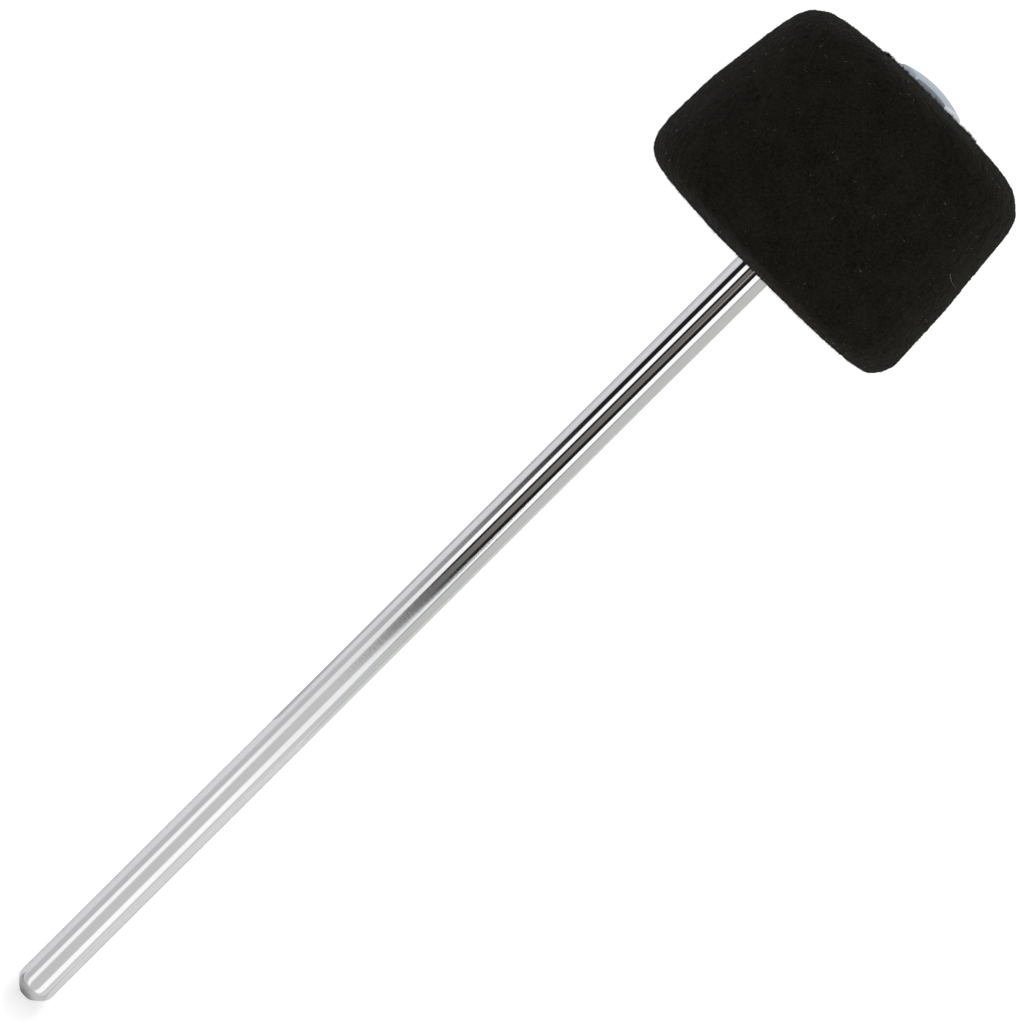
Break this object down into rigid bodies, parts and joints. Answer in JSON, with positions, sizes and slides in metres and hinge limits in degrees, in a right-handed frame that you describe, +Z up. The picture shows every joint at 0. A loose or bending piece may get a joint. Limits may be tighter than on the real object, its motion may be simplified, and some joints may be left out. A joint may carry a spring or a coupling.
{
  "type": "bass drum beater",
  "caption": "Bass drum beater: a chromed round rod with a bullet tip that carries a tapered, crowned felt head, clamped by a low-crown cap nut.",
  "frame": {"origin": "on the rod's axis, where the bare rod meets the underside of the head", "axes": "+X along the rod from the free tip to the head, +Z up through one flat of the cap nut"},
  "size_m": [0.2492, 0.0644, 0.0644],
  "materials": {
    "shaft_chrome": "bright chromium plate on steel rod",
    "nut_chrome": "bright chromium plate",
    "zinc_steel": "bright zinc plate",
    "black_felt": "dense pressed wool felt, black, short nap"
  },
  "bodies": {
    "beater": {"shaft": "shaft_chrome", "felt_head": "black_felt", "upper_washer": "zinc_steel", "lower_washer": "zinc_steel", "lower_spring_washer": "zinc_steel", "lower_nut": "zinc_steel"},
    "nut_lift": {"captive_lock_washer": "zinc_steel"},
    "cap_nut": {"cap_nut": "nut_chrome"}
  },
  "joints": [
    {"name": "nut_rise", "type": "slide", "parent": "beater", "child": "nut_lift", "axis": [1, 0, 0], "range_m": [0, 0.00625]},
    {"name": "nut_turn", "type": "hinge", "parent": "nut_lift", "child": "cap_nut", "pos_m": [0.0392, 0, 0], "axis": [1, 0, 0], "range_deg": [0, 1800]}
  ],
  "couplings": [
    {"joint": "nut_turn", "follows": "nut_rise", "rad_per_m": 5026.5}
  ]
}
